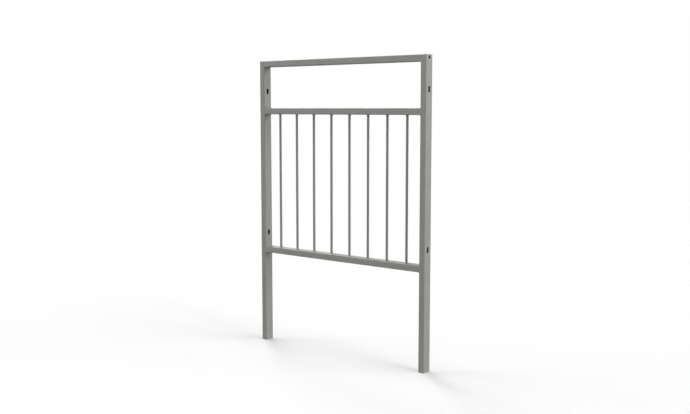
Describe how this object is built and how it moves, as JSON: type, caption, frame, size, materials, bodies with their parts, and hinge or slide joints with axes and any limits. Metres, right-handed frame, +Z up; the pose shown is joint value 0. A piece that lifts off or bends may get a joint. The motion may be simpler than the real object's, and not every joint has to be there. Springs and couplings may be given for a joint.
{
  "type": "crowd control barrier",
  "caption": "Welded steel guard panel on in-ground legs: mitred frame, open window at the top, round upright bars below, slots in the posts to link panels.",
  "frame": {"origin": "on the plane of the leg ends, midway between the posts and midway from front to back", "axes": "+Z up along the posts, +X along the panel from the left post to the right post, +Y through the panel from front to back"},
  "size_m": [1, 0.05, 1.41],
  "materials": {
    "frame_section": "satin grey powder coat over galvanised hollow section",
    "infill_bar": "satin grey powder coat over galvanised round bar",
    "weld_bead": "satin grey powder coat over a rippled weld bead"
  },
  "bodies": {
    "root": {"top_rail": "frame_section", "mid_rail": "frame_section", "lower_rail": "frame_section", "left_post": "frame_section", "right_post": "frame_section", "infill_bar_1": "infill_bar", "infill_bar_2": "infill_bar", "infill_bar_3": "infill_bar", "infill_bar_4": "infill_bar", "infill_bar_5": "infill_bar", "infill_bar_6": "infill_bar", "infill_bar_7": "infill_bar", "infill_bar_8": "infill_bar", "left_corner_weld": "weld_bead", "right_corner_weld": "weld_bead", "mid_rail_left_weld": "weld_bead", "mid_rail_right_weld": "weld_bead", "lower_rail_left_weld": "weld_bead", "lower_rail_right_weld": "weld_bead", "upper_bar_weld_1": "weld_bead", "upper_bar_weld_2": "weld_bead", "upper_bar_weld_3": "weld_bead", "upper_bar_weld_4": "weld_bead", "upper_bar_weld_5": "weld_bead", "upper_bar_weld_6": "weld_bead", "upper_bar_weld_7": "weld_bead", "upper_bar_weld_8": "weld_bead", "lower_bar_weld_1": "weld_bead", "lower_bar_weld_2": "weld_bead", "lower_bar_weld_3": "weld_bead", "lower_bar_weld_4": "weld_bead", "lower_bar_weld_5": "weld_bead", "lower_bar_weld_6": "weld_bead", "lower_bar_weld_7": "weld_bead", "lower_bar_weld_8": "weld_bead"}
  },
  "joints": []
}
